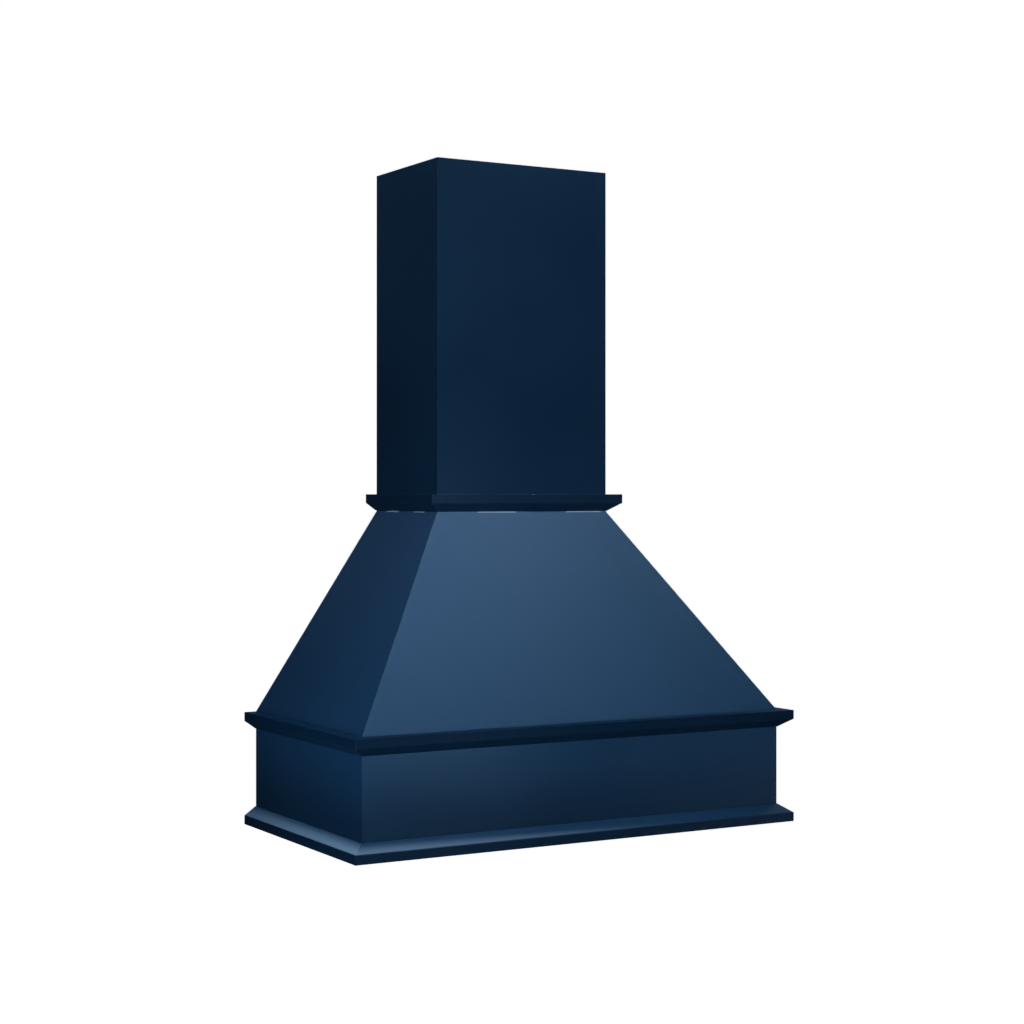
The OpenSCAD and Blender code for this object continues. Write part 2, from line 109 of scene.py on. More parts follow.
# Lights, from a fit to the photo's shades: name, place, what it is aimed at, side, watts, colour
AIM = (0.0, -0.25, 0.45)
WHITE_LIGHT = (1.0, 1.0, 1.0)
COOL_LIGHT = (0.3, 0.6, 1.0)
WARM_LIGHT = (1.0, 0.75, 0.61)
LAMPS = (
    ("overhead", (0.0, -0.3, 3.2), AIM, 1.2, 51.9, WHITE_LIGHT),
    ("left_front", (-1.5, -2.848, 0.45), AIM, 2.2, 29.5, WHITE_LIGHT),
    ("low_right", (2.723, -0.98, -0.576), AIM, 1.4, 2.4, WHITE_LIGHT),
    ("key", (0.987, -1.66, 2.907), AIM, 1.0, 7.9, WHITE_LIGHT),
    ("low_front_left", (-0.6, -2.6, 0.1), AIM, 0.8, 7.1, WHITE_LIGHT),
    ("low_left", (-1.3, -0.7, 0.2), AIM, 0.5, 6.6, WHITE_LIGHT),
    ("rear_high", (-1.3, 2.2, 2.4), AIM, 0.6, 3.2, COOL_LIGHT),
    ("mid_right", (1.625, -1.614, 2.571), AIM, 1.0, 3.0, WHITE_LIGHT),
    ("key_front", (0.66, -2.062, 2.748), AIM, 1.0, 2.1, WHITE_LIGHT),
    ("low_front_right", (2.16, -2.062, -0.576), AIM, 1.4, 2.3, WHITE_LIGHT),
    ("high_right", (1.76, -1.727, 2.378), AIM, 1.4, 1.9, WHITE_LIGHT),
    ("rear", (-0.8, 2.4, 1.5), AIM, 0.6, 0.26, COOL_LIGHT),
    ("near_front", (-0.04, -1.0, 0.33), (0.0, -0.488, 0.2), 0.45, 0.93, WARM_LIGHT),
    # Not in the photo: the side that it doesn't show
    ("right_side", (2.6, 0.6, 1.0), AIM, 1.2, 26.0, WHITE_LIGHT),
    # These two reach the inside: one through the open back, one up through the foot
    ("inside_back", (0.8, 2.4, 0.2), (0.0, 0.0, 0.5), 0.34, 42.0, WHITE_LIGHT),
    ("inside_foot", (0.0, -0.24, -0.45), (0.0, -0.24, 0.5), 0.3, 4.0, WHITE_LIGHT),
)

# Painted shade and light: the paint's tone changes with height, from one height to another, and the
# shade at each. The first three are of whole boards: the apron lighter towards its top, the taper
# towards its foot, the stack towards its top. The middle moulding's goes from its lighter chamfer to
# its darker band, and the foot moulding's from its darker band to its lighter chamfer
APRON_PAINTED_SHADE = (0.03, 0.19, 0.63, 1.34)
TAPER_PAINTED_SHADE = (0.23, 0.58, 1.12, 0.97)
STACK_PAINTED_SHADE = (0.65, 1.2, 0.82, 0.93)
MIDDLE_PAINTED_SHADE = (0.2030, 0.2050, 0.90, 0.57)
FOOT_PAINTED_SHADE = (0.0165, 0.0205, 0.50, 1.60)
# One shade all over: a darker painted shade on the collar moulding, the plain navy on the ledges
TRIM_PAINTED_SHADE = (*WHOLE_HEIGHT, 0.66, 0.66)
# Painted shade and gloss level of each of the three mouldings
TRIMS = {"bottom": (FOOT_PAINTED_SHADE, 0.6), "middle": (MIDDLE_PAINTED_SHADE, 0.12), "collar": (TRIM_PAINTED_SHADE, 1.0)}
PAINTED_SHADES = {"apron": APRON_PAINTED_SHADE, "taper": TAPER_PAINTED_SHADE, "stack": STACK_PAINTED_SHADE}
# Level ledges of the mouldings, where dust has settled into the film: shade, added roughness and
# gloss level. Their shade is the plain navy, lighter than the mouldings' painted shade, as painted
# light on faces that look up
LEDGE_FADE = (*WHOLE_HEIGHT, 1.0, 1.0)
LEDGE_DULLNESS = 0.5
LEDGE_GLOSS_LEVEL = 0.06
# Faces turned up at least this much are ledges
LEDGE_FACING = 0.95
# Painted highlight on the rim of the foot moulding's chamfer. The place along it is measured as
# -X - Y, which grows towards the front left corner. Its strength grows between two such places. It
# starts to pale at a height that rises with the place, and is palest at a lower one
RIM_REACH = (0.12, 1.06)
RIM_START = 0.0154
RIM_RISE = 0.0195
RIM_FULL = 0.0185
# The same of the left piece, whose start lies level
LEFT_RIM_REACH = (-0.35, 0.95)
LEFT_RIM_START = 0.0365
LEFT_RIM_RISE = 0.0
LEFT_RIM_FULL = 0.0215
# Heights between which both come up from the arris
RIM_END = (0.0176, 0.0190)
# Painted highlight only where the face looks up: from one share to another
RIM_FACING = (0.3, 0.6)
RIM_MOST = 0.95

# Rings of the solid wood: how far below a face the pith lies and what each next piece adds, how
# far it lies to a side in steps, its lean and the lean's step in degrees, and how close the rings are
PITH_DEPTH = 0.048
PITH_DEPTH_STEP = 0.009
PITH_SIDE_STEP = 0.012
PITH_LEAN = 1.4
PITH_LEAN_STEP = 0.5
RING_SCALE = 44.0
# How far each next piece of solid wood lies along and across the same noise
PIECE_SHIFT = (0.37, 0.11)

# Pale dashes painted along the top of the taper, under the collar, as light showing through the
# seam: places along X on the front and along Y on the sides
SEAM_HEIGHT = 0.0017
SEAM_RAGGED = 0.0008
# Faces turned up more than this hold no painted dashes
SEAM_LIGHT_FACING = 0.995
FRONT_DASHES = ((-0.103, -0.017), (0.099, 0.181))
SIDE_DASHES = ((-0.102, -0.049), (-0.215, -0.172))

# Arrises of the boards and the mouldings, their steps, and a profile that makes them round
BOARD_ARRIS = 0.0008
TRIM_ARRIS = 0.0006
ARRIS_STEPS = 2
ARRIS_PROFILE = 0.5
# Faces of a mitre have a normal with at least this much of both X and Y
MITRE_SHARE = 0.2
# Faces this close to a direction face that way
FACING = 0.9
# Rails whose grain has at least this much of Z stand upright
UPRIGHT_SHARE = 0.5
# Faces turned outwards at least this much are painted
PAINTED_FACING = 0.3
# Angle in degrees below which two faces of a board are one
FLAT_ANGLE = 1
# Places of points are matched to this many decimals of a metre
MATCH_DECIMALS = 6
# Points of one screw closer than this are one point
MATCH_REACH = 1e-6
# Screws are sorted by their places to this many decimals
SORT_DECIMALS = 5
# The paint on the low rails ends this far above the boards' split
PAINT_OVERLAP = 0.0001

# The finishes. Noise scales are even in all directions where they are one number; three are along
# the grain, across it and through the board. Spans map a noise or a share, from two values to two
# others, or to 0 and 1

# Paint: cloudy tone, fibres of the wood below, strokes of the sanding, orange peel, worn arrises
CLOUD_SCALE = 3.2
PAINT_FIBRES = (3.0, 95.0, 95.0)
PAINT_STROKES = (9.0, 520.0, 520.0)
PEEL_SCALE = 330.0
CLOUD_SPAN = (0.3, 0.7)
PAINT_FIBRE_SPAN = (0.35, 0.75, 0.0, 0.22)
WEAR_SPAN = (0.25, 0.65, 0.35, 1.0)
PAINT_ROUGH_SPAN = (0.45, 0.95, 0.32, 0.38)
PEEL_ROUGH_SHARE = 0.4
WEAR_POLISH = 0.06
PEEL_RELIEF_SHARE = 0.5
STROKE_RELIEF_SHARE = 0.3
FIBRE_RELIEF_SHARE = 0.9
PAINT_WEAR = 0.0016
PAINT_RELIEF = 0.00006
PAINT_RELIEF_STRENGTH = 0.6
# Cosine of the turn of an arris, on the flats and where it is full
EDGE_SPAN = (0.999, 0.93)
# Pale dashes painted in the seam as light showing through it: ragged ends, and roughness
RAGGED_SCALE = 900.0
SEAM_LIGHT_ROUGHNESS = 0.75

# Poplar: late wood of the rings, fibres, pores, end grain, pale worn arrises
POPLAR_FIGURE = (1.2, 9.0, 9.0)
POPLAR_FIBRES = (22.0, 1100.0, 1100.0)
POPLAR_PORES = (60.0, 2400.0, 2400.0)
RING_DISTORTION = 5.0
RING_DETAIL = 2.0
RING_DETAIL_SCALE = 0.09
LATE_WOOD_POWER = 2.2
LATE_WOOD_SPAN = (0.3, 0.7, 0.25, 0.85)
POPLAR_FIBRE_SPAN = (0.35, 0.8, 0.0, 0.35)
PORE_SPAN = (0.62, 0.75, 0.0, 0.35)
END_GRAIN_SPAN = (0.80, 0.95, 0.0, 0.5)
POPLAR_ROUGH_SPAN = (0.2, 0.8, 0.58, 0.78)
POPLAR_WEAR = 0.0012
POPLAR_WEAR_SHARE = 0.25
POPLAR_ROUND = 0.0007
POPLAR_FIBRE_RELIEF_SHARE = 0.6
LATE_WOOD_RELIEF_SHARE = 0.5
WOOD_RELIEF = 0.00012
WOOD_RELIEF_STRENGTH = 0.7
# Faces turned to the wall more than this are left bare
BARE_FACING = 0.5

# Birch veneer: broad figure, fibres, flecks
BIRCH_FIGURE = (1.6, 16.0, 16.0)
BIRCH_FIBRES = (28.0, 1300.0, 1300.0)
BIRCH_FLECKS = (70.0, 900.0, 900.0)
BIRCH_DISTORTION = 0.6
BIRCH_FIGURE_SPAN = (0.3, 0.72)
BIRCH_FIBRE_SPAN = (0.35, 0.8, 0.0, 0.25)
FLECK_SPAN = (0.66, 0.74, 0.0, 0.4)
BIRCH_ROUGH_SPAN = (0.2, 0.8, 0.55, 0.72)
BIRCH_FIGURE_RELIEF_SHARE = 0.4
VENEER_RELIEF = 0.0001
VENEER_RELIEF_STRENGTH = 0.6

# Sawn edge of the plywood: thickness of a ply, how far plies wander, the share of one that is glue
PLY_WANDER = (14.0, 14.0, 0.0)
PLY_FIBRES = (900.0, 900.0, 900.0)
PLY_THICKNESS = 0.00141
PLY_WANDER_REACH = 0.0005
GLUE_SHARE = 0.09
SAWN_ROUGHNESS = 0.75
PLY_FIBRE_RELIEF_SHARE = 0.8
CROSSED_RELIEF_SHARE = 0.5
# Paint that laps over the sawn edge: its widest reach, its offset, and how softly it ends
LAP_SCALE = 40.0
LAP_REACH = 0.005
LAP_OFFSET = -0.001
LAP_SOFT = 0.0006

# Zinc plating: duller patches with fine grain
ZINC_PATCHES = 240.0
ZINC_FINE = 2600.0
ZINC_TONE_SPAN = (0.35, 0.7)
ZINC_ROUGH_SPAN = (0.4, 0.9, 0.22, 0.5)
ZINC_FINE_SHARE = 0.3
ZINC_METAL = 0.95
ZINC_RELIEF = 0.00004
ZINC_RELIEF_STRENGTH = 0.5

# Sockets of the mix node that share their names
MIX_SHARE = 0
FLOAT_A = 2
FLOAT_B = 3
COLOUR_A = 6
COLOUR_B = 7
COLOUR_RESULT = 2

# Colours, linear
NAVY = (0.0042, 0.0250, 0.0680)
NAVY_DEEP = (0.0036, 0.0225, 0.0620)
NAVY_EDGE = (0.0090, 0.0370, 0.0900)
# The film's gloss is bluish
GLOSS_TINT = (0.25, 0.54, 1.0)
GLOSS_LEVEL = 1.0
# Painted highlight on the chamfer of the foot moulding, paler on its left piece
NAVY_HIGHLIGHT = (0.102, 0.184, 0.294)
NAVY_HIGHLIGHT_STRONG = (0.150, 0.268, 0.420)
# Pale dashes painted along the seam under the collar, as light showing through the gap
SEAM_LIGHT_TONE = (0.32, 0.39, 0.49)
POPLAR_PALE = (0.66, 0.525, 0.345)
POPLAR_DARK = (0.45, 0.335, 0.185)
BIRCH_PALE = (0.66, 0.52, 0.335)
BIRCH_DARK = (0.50, 0.365, 0.21)
PLY_END = (0.27, 0.17, 0.085)
PLY_GLUE = (0.10, 0.055, 0.025)
ZINC = (0.62, 0.61, 0.58)
ZINC_WARM = (0.60, 0.53, 0.36)


class Finish:
    """A node material around one Principled shader."""

    def __init__(self, name):
        self.material = bpy.data.materials.new(name)
        self.material.use_nodes = True
        self.tree = self.material.node_tree
        self.shader = self.tree.nodes["Principled BSDF"]

    def add(self, kind, inputs=None, output=0, **settings):
        """One node: inputs by name or number, each a value or another node's output."""
        node = self.tree.nodes.new("ShaderNode" + kind)
        for key, value in settings.items():
            setattr(node, key, value)
        for key, value in (inputs or {}).items():
            if isinstance(value, bpy.types.NodeSocket):
                self.tree.links.new(value, node.inputs[key])
            else:
                node.inputs[key].default_value = value
        return node.outputs[output]

    def math(self, operation, *values):
        return self.add("Math", dict(enumerate(values)), operation=operation)

    def mix(self, share, a, b):
        """A colour between a and b."""
        inputs = {MIX_SHARE: share, COLOUR_A: colour(a), COLOUR_B: colour(b)}
        return self.add("Mix", inputs, COLOUR_RESULT, data_type="RGBA")

    def mix_values(self, share, a, b):
        """A number between a and b."""
        return self.add("Mix", {MIX_SHARE: share, FLOAT_A: a, FLOAT_B: b})

    def between(self, value, low, high, out_low=0.0, out_high=1.0):
        """The value's place between two others, from out_low to out_high."""
        inputs = dict(enumerate((value, low, high, out_low, out_high)))
        return self.add("MapRange", inputs, interpolation_type="SMOOTHSTEP")

    def point(self):
        """Place in the row frame."""
        return self.add("TexCoord", output="Object")

    def facing(self):
        """Direction in which the flat face looks."""
        return self.add("NewGeometry", output="True Normal")

    def along(self, vector, axis):
        """One of a vector's numbers: X, Y or Z."""
        return self.add("SeparateXYZ", {0: vector}, axis)

    def dot(self, a, b):
        return self.add("VectorMath", {0: a, 1: b}, "Value", operation="DOT_PRODUCT")

    def place(self, turn, scale=(1, 1, 1), shift=(0, 0, 0)):
        """The point turned into a board's own axes: along the grain, across it, through it."""
        own = self.add("Mapping", {"Vector": self.point(), "Rotation": turn.to_euler("XYZ")})
        return self.add("Mapping", {"Vector": own, "Location": shift, "Scale": scale})

    def noise(self, vector, scale, detail=2.0, roughness=0.5, distortion=0.0):
        inputs = {"Vector": vector, "Scale": scale, "Detail": detail}
        inputs.update({"Roughness": roughness, "Distortion": distortion})
        return self.add("TexNoise", inputs)

    def grain(self, turn, scale, detail=2.0, roughness=0.5, distortion=0.0, shift=(0, 0, 0)):
        """Noise drawn out along the grain of a board."""
        return self.noise(self.place(turn, scale, shift), 1.0, detail, roughness, distortion)

    def bump(self, height, distance, strength=1.0, normal=None):
        inputs = {"Height": height, "Distance": distance, "Strength": strength}
        if normal is not None:
            inputs["Normal"] = normal
        return self.add("Bump", inputs)

    def edge_mask(self, radius):
        """About 1 on the arrises and 0 on the flats."""
        soft = self.add("Bevel", {"Radius": radius})
        return self.between(self.dot(soft, self.facing()), *EDGE_SPAN)

    def add_up(self, *parts):
        """Sum of values, each with its share."""
        total = None
        for value, share in parts:
            scaled = value if share == 1 else self.math("MULTIPLY", value, share)
            total = scaled if total is None else self.math("ADD", total, scaled)
        return total

    def wire(self, **sockets):
        """Sets or links the shader's own sockets, whose names have underscores for spaces."""
        for key, value in sockets.items():
            socket = self.shader.inputs[key.replace("_", " ")]
            if isinstance(value, bpy.types.NodeSocket):
                self.tree.links.new(value, socket)
            else:
                socket.default_value = value
        return self.material


def colour(value):
    """A colour with its alpha, or a socket as it is."""
    return value if isinstance(value, bpy.types.NodeSocket) else (*value, 1.0)


def own_axes(grain, out):
    """Turns the row frame into a board's own axes: along the grain, across, outwards."""
    across = out.cross(grain).normalized()
    return Matrix((grain.normalized(), across, out.normalized()))


def paint_layers(finish, turn):
    """Colour, roughness and relief of the satin paint, as three sockets."""
    flat = finish.place(turn)
    cloud = finish.noise(flat, CLOUD_SCALE, 3.0)
    fibres = finish.grain(turn, PAINT_FIBRES, 4.0, 0.6)
    strokes = finish.grain(turn, PAINT_STROKES)
    peel = finish.noise(flat, PEEL_SCALE, 1.0)
    tone = finish.mix(finish.between(cloud, *CLOUD_SPAN), NAVY_DEEP, NAVY)
    tone = finish.mix(finish.between(fibres, *PAINT_FIBRE_SPAN), tone, NAVY_DEEP)
    worn = finish.between(cloud, *WEAR_SPAN)
    edge = finish.math("MULTIPLY", finish.edge_mask(PAINT_WEAR), worn)
    tone = finish.mix(edge, tone, NAVY_EDGE)
    uneven = finish.add_up((cloud, 1), (peel, PEEL_ROUGH_SHARE))
    gloss = finish.between(uneven, *PAINT_ROUGH_SPAN)
    gloss = finish.math("SUBTRACT", gloss, finish.math("MULTIPLY", edge, WEAR_POLISH))
    relief = finish.add_up(
        (peel, PEEL_RELIEF_SHARE), (strokes, STROKE_RELIEF_SHARE), (fibres, FIBRE_RELIEF_SHARE)
    )
    return tone, gloss, relief


def painted_rim_highlight(finish, point, height, start, rise, full, reach):
    """Where a highlight is painted on the chamfer of the foot: at its rim, most of all by the front left
    corner.
    """
    upward = finish.along(finish.facing(), "Z")
    to_corner = finish.dot(point, (-1.0, -1.0, 0.0))
    inner = finish.math("MULTIPLY_ADD", to_corner, rise, start)
    rim = finish.between(height, inner, full)
    rim = finish.math("MULTIPLY", rim, finish.between(height, *RIM_END))
    rim = finish.math("MULTIPLY", rim, finish.between(upward, *RIM_FACING))
    return finish.math("MULTIPLY", rim, finish.between(to_corner, *reach, 0.0, RIM_MOST))


def seam_light_dashes(finish, point, height, top, axis, stretches):
    """Pale dashes painted along a board's top as light showing through the seam: each from one place to
    another.
    """
    ragged = finish.math("MULTIPLY", finish.noise(point, RAGGED_SCALE), SEAM_RAGGED)
    place = finish.math("ADD", finish.along(point, axis), ragged)
    shown = None
    for start, end in stretches:
        middle = (start + end) / 2
        reach = (end - start) / 2
        gap = finish.math("ABSOLUTE", finish.math("SUBTRACT", place, middle))
        dash = finish.math("LESS_THAN", gap, reach)
        shown = dash if shown is None else finish.math("MAXIMUM", shown, dash)
    low_edge = finish.math("ADD", ragged, top - SEAM_HEIGHT - SEAM_RAGGED / 2)
    shown = finish.math("MULTIPLY", shown, finish.math("GREATER_THAN", height, low_edge))
    upward = finish.along(finish.facing(), "Z")
    return finish.math("MULTIPLY", shown, finish.math("LESS_THAN", upward, SEAM_LIGHT_FACING))


def paint(name, turn, painted_shade, rim=None, seam=None, gloss_level=GLOSS_LEVEL, dullness=0.0):
    """Satin navy paint, sprayed over fine sanded wood whose grain just shows."""
    finish = Finish(name)
    tone, gloss, relief = paint_layers(finish, turn)
    point = finish.point()
    height = finish.along(point, "Z")
    # Painted shade and light: the tone is scaled with height
    shade = finish.between(height, *painted_shade)
    tone = finish.add("VectorMath", {0: tone, "Scale": shade}, operation="SCALE")
    gloss = finish.math("ADD", gloss, dullness)
    # Painted highlight on the rim of the foot moulding's chamfer
    if rim is not None:
        *where, highlight_tone = rim
        tone = finish.mix(painted_rim_highlight(finish, point, height, *where), tone, highlight_tone)
    # Pale dashes painted along the seam as light showing through the gap; bare marks them
    if seam is not None:
        bare = seam_light_dashes(finish, point, height, *seam)
        tone = finish.mix(bare, tone, SEAM_LIGHT_TONE)
        gloss = finish.mix_values(bare, gloss, SEAM_LIGHT_ROUGHNESS)
    return finish.wire(
        Base_Color=tone,
        Roughness=gloss,
        Specular_IOR_Level=gloss_level,
        Specular_Tint=(*GLOSS_TINT, 1.0),
        Normal=finish.bump(relief, PAINT_RELIEF, PAINT_RELIEF_STRENGTH),
    )


def growth_rings(finish, turn, centre, number):
    """Rings about a leaning pith below the face."""
    # The steps come round after 2, 3, 4 and 5 pieces, so no two rails have the same rings
    lean_by = math.radians(PITH_LEAN + PITH_LEAN_STEP * (number % 3)) * (-1) ** number
    lean = Matrix.Rotation(lean_by, 3, "Y") @ turn
    side = PITH_SIDE_STEP * (number * 7 % 5 - 2)
    depth = PITH_DEPTH + PITH_DEPTH_STEP * (number % 4)
    pith = Vector((0, side, depth)) - lean @ centre
    inputs = {"Vector": finish.place(lean, shift=pith), "Scale": RING_SCALE}
    inputs.update({"Distortion": RING_DISTORTION, "Detail": RING_DETAIL})
    inputs["Detail Scale"] = RING_DETAIL_SCALE
    return finish.add(
        "TexWave", inputs, wave_type="RINGS", rings_direction="X", wave_profile="SAW"
    )


def low_coat(finish, turn, painted_below, tone, gloss, relief):
    """Paint over the part of a low rail that shows under the foot, except on its back."""
    low = finish.math("LESS_THAN", finish.along(finish.point(), "Z"), painted_below)
    to_wall = finish.along(finish.facing(), "Y")
    shown = finish.math("MULTIPLY", low, finish.math("LESS_THAN", to_wall, BARE_FACING))
    coat, coat_gloss, coat_relief = paint_layers(finish, turn)
    return (
        finish.mix(shown, tone, coat),
        finish.mix_values(shown, gloss, coat_gloss),
        finish.mix_values(shown, relief, coat_relief),
    )


def poplar(name, turn, centre, number=0, painted_below=None):
    """Planed solid wood: rings about a pith below the face, fibres, and darker end grain."""
    finish = Finish(name)
    shift = (PIECE_SHIFT[0] * number, PIECE_SHIFT[1] * number, 0.0)
    rings = growth_rings(finish, turn, centre, number)
    figure = finish.grain(turn, POPLAR_FIGURE, 3.0, shift=shift)
    fibres = finish.grain(turn, POPLAR_FIBRES, 3.0, 0.65, shift=shift)
    pores = finish.grain(turn, POPLAR_PORES, 1.0, shift=shift)
    strength = finish.between(figure, *LATE_WOOD_SPAN)
    late = finish.math("MULTIPLY", finish.math("POWER", rings, LATE_WOOD_POWER), strength)
    tone = finish.mix(late, POPLAR_PALE, POPLAR_DARK)
    tone = finish.mix(finish.between(fibres, *POPLAR_FIBRE_SPAN), tone, POPLAR_DARK)
    tone = finish.mix(finish.between(pores, *PORE_SPAN), tone, PLY_END)
    to_grain = finish.math("ABSOLUTE", finish.dot(finish.facing(), turn[0]))
    tone = finish.mix(finish.between(to_grain, *END_GRAIN_SPAN), tone, PLY_END)
    edge = finish.edge_mask(POPLAR_WEAR)
    tone = finish.mix(finish.math("MULTIPLY", edge, POPLAR_WEAR_SHARE), tone, POPLAR_PALE)
    gloss = finish.between(fibres, *POPLAR_ROUGH_SPAN)
    relief = finish.add_up((fibres, POPLAR_FIBRE_RELIEF_SHARE), (late, LATE_WOOD_RELIEF_SHARE))
    if painted_below is not None:
        tone, gloss, relief = low_coat(finish, turn, painted_below, tone, gloss, relief)
    soft = finish.add("Bevel", {"Radius": POPLAR_ROUND})
    return finish.wire(
        Base_Color=tone,
        Roughness=gloss,
        Normal=finish.bump(relief, WOOD_RELIEF, WOOD_RELIEF_STRENGTH, soft),
    )


def birch_face(name, turn):
    """Face veneer of the plywood: broad, faint figure and fine fibres."""
    finish = Finish(name)
    figure = finish.grain(turn, BIRCH_FIGURE, 4.0, 0.55, BIRCH_DISTORTION)
    fibres = finish.grain(turn, BIRCH_FIBRES, 3.0, 0.6)
    flecks = finish.grain(turn, BIRCH_FLECKS, 1.0)
    tone = finish.mix(finish.between(figure, *BIRCH_FIGURE_SPAN), BIRCH_PALE, BIRCH_DARK)
    tone = finish.mix(finish.between(fibres, *BIRCH_FIBRE_SPAN), tone, BIRCH_DARK)
    tone = finish.mix(finish.between(flecks, *FLECK_SPAN), tone, PLY_END)
    relief = finish.add_up((fibres, 1), (figure, BIRCH_FIGURE_RELIEF_SHARE))
    return finish.wire(
        Base_Color=tone,
        Roughness=finish.between(fibres, *BIRCH_ROUGH_SPAN),
        Normal=finish.bump(relief, VENEER_RELIEF, VENEER_RELIEF_STRENGTH),
    )


def ply_edge(name, turn, outside):
    """Sawn edge of the plywood: thin plies, glue lines, and paint that laps over the arris."""
    finish = Finish(name)
    own = finish.place(turn)
    depth = finish.math("SUBTRACT", outside, finish.along(own, "Z"))
    wander = finish.math("MULTIPLY", finish.grain(turn, PLY_WANDER), PLY_WANDER_REACH)
    layer = finish.math("DIVIDE", finish.math("ADD", depth, wander), PLY_THICKNESS)
    within = finish.math("FRACT", layer)
    # Every second ply lies crossed: half its number leaves a remainder
    parity = finish.math("FRACT", finish.math("MULTIPLY", finish.math("FLOOR", layer), 0.5))
    crossed = finish.math("GREATER_THAN", parity, 0.25)
    fibres = finish.grain(turn, PLY_FIBRES, 3.0, 0.6)
    pale = finish.mix(fibres, BIRCH_PALE, BIRCH_DARK)
    dark = finish.mix(fibres, PLY_END, BIRCH_DARK)
    tone = finish.mix(crossed, pale, dark)
    tone = finish.mix(finish.math("LESS_THAN", within, GLUE_SHARE), tone, PLY_GLUE)
    lap = finish.math("MULTIPLY", finish.noise(own, LAP_SCALE, 3.0), LAP_REACH)
    lap = finish.math("ADD", lap, LAP_OFFSET)
    painted = finish.between(finish.math("SUBTRACT", lap, depth), 0.0, LAP_SOFT)
    coat, coat_gloss, coat_relief = paint_layers(finish, turn)
    tone = finish.mix(painted, tone, coat)
    gloss = finish.mix_values(painted, SAWN_ROUGHNESS, coat_gloss)
    relief = finish.add_up((fibres, PLY_FIBRE_RELIEF_SHARE), (crossed, CROSSED_RELIEF_SHARE))
    relief = finish.mix_values(painted, relief, coat_relief)
    return finish.wire(
        Base_Color=tone,
        Roughness=gloss,
        Normal=finish.bump(relief, WOOD_RELIEF, WOOD_RELIEF_STRENGTH),
    )


def zinc(name):
    """Zinc plating with a warm cast, duller in patches."""
    finish = Finish(name)
    point = finish.point()
    patches = finish.noise(point, ZINC_PATCHES, 3.0)
    fine = finish.noise(point, ZINC_FINE)
    uneven = finish.add_up((patches, 1), (fine, ZINC_FINE_SHARE))
    return finish.wire(
        Base_Color=finish.mix(finish.between(patches, *ZINC_TONE_SPAN), ZINC, ZINC_WARM),
        Roughness=finish.between(uneven, *ZINC_ROUGH_SPAN),
        Metallic=ZINC_METAL,
        Normal=finish.bump(fine, ZINC_RELIEF, ZINC_RELIEF_STRENGTH),
    )


# Boards and mouldings


def hull_of(node):
    """Clean solid of a convex CAD node, without the pilot holes that its rails hide."""
    mesh = bmesh.new()
    seen = set()
    for vertex in NODES[node].data.vertices:
        key = tuple(round(c, MATCH_DECIMALS) for c in vertex.co)
        if key not in seen:
            seen.add(key)
            mesh.verts.new(vertex.co)
    made = bmesh.ops.convex_hull(mesh, input=mesh.verts)
    spare = made["geom_interior"] + made["geom_unused"]
    spare = {v for v in spare if isinstance(v, bmesh.types.BMVert)}
    bmesh.ops.delete(mesh, geom=list(spare), context="VERTS")
    bmesh.ops.dissolve_limit(
        mesh, angle_limit=math.radians(FLAT_ANGLE), verts=mesh.verts[:], edges=mesh.edges[:]
    )
    bmesh.ops.recalc_face_normals(mesh, faces=mesh.faces[:])
    return mesh


def is_mitre(face):
    return min(abs(face.normal.x), abs(face.normal.y)) > MITRE_SHARE


def main_face(mesh):
    """Normal and distance of the biggest face, which is the one seen from outside."""
    face = max(mesh.faces, key=lambda f: f.calc_area())
    return face.normal.copy(), face.normal.dot(face.verts[0].co)


def soften(mesh, arris, keep):
    """Rounds the arrises, apart from those on a face that keep() names."""
    edges = [e for e in mesh.edges if not any(keep(f) for f in e.link_faces)]
    bmesh.ops.bevel(
        mesh, geom=edges, offset=arris, offset_type="OFFSET", segments=ARRIS_STEPS,
        profile=ARRIS_PROFILE, affect="EDGES", clamp_overlap=True,
    )


def piece(node, mesh, materials):
    """Object from a mesh, which stands for a CAD node and rides on its body."""
    data = bpy.data.meshes.new("dressed_" + node)
    mesh.to_mesh(data)
    mesh.free()
    for material in materials:
        data.materials.append(material)
    thing = bpy.data.objects.new("dressed_" + node, data)
    bpy.context.scene.collection.objects.link(thing)
    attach(thing, BODY_OF[node])
    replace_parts(thing, node)
    return thing


def split_level(mesh, height):
    """Cuts a board's faces at a height, so that a material can change there."""
    bmesh.ops.bisect_plane(
        mesh, geom=mesh.verts[:] + mesh.edges[:] + mesh.faces[:],
        plane_co=(0, 0, height), plane_no=UP,
    )


def board(node, upright, split_at=None):
    """Plywood board: painted outside, veneer inside, plies on its edges."""
    mesh = hull_of(node)
    out, outside = main_face(mesh)
    level = UP.cross(out).normalized()
    grain = out.cross(level) if upright else level
    turn = own_axes(grain, out)
    if split_at is not None:
        split_level(mesh, split_at)
    soften(mesh, BOARD_ARRIS, is_mitre)
    top = max(v.co.z for v in mesh.verts)
    for face in mesh.faces:
        height = face.calc_center_median().z
        facing = face.normal.dot(out)
        low = split_at is not None and height < split_at and face.normal.dot(TO_WALL) < FACING
        if facing > PAINTED_FACING or low:
            face.material_index = 0
        elif facing < -FACING:
            face.material_index = 1
        else:
            face.material_index = 2
    # The tapers carry pale dashes painted along their tops, as light showing through the seam
    seam = None
    if node.startswith("taper"):
        seam = (top, "X", FRONT_DASHES) if node.endswith("front") else (top, "Y", SIDE_DASHES)
    # Painted shade and light of the board, changing with height
    painted_shade = PAINTED_SHADES[node.split("_")[0]]
    piece(node, mesh, [
        paint("navy_" + node, turn, painted_shade, seam=seam),
        birch_face("veneer_" + node, turn),
        ply_edge("plies_" + node, turn, outside),
    ])


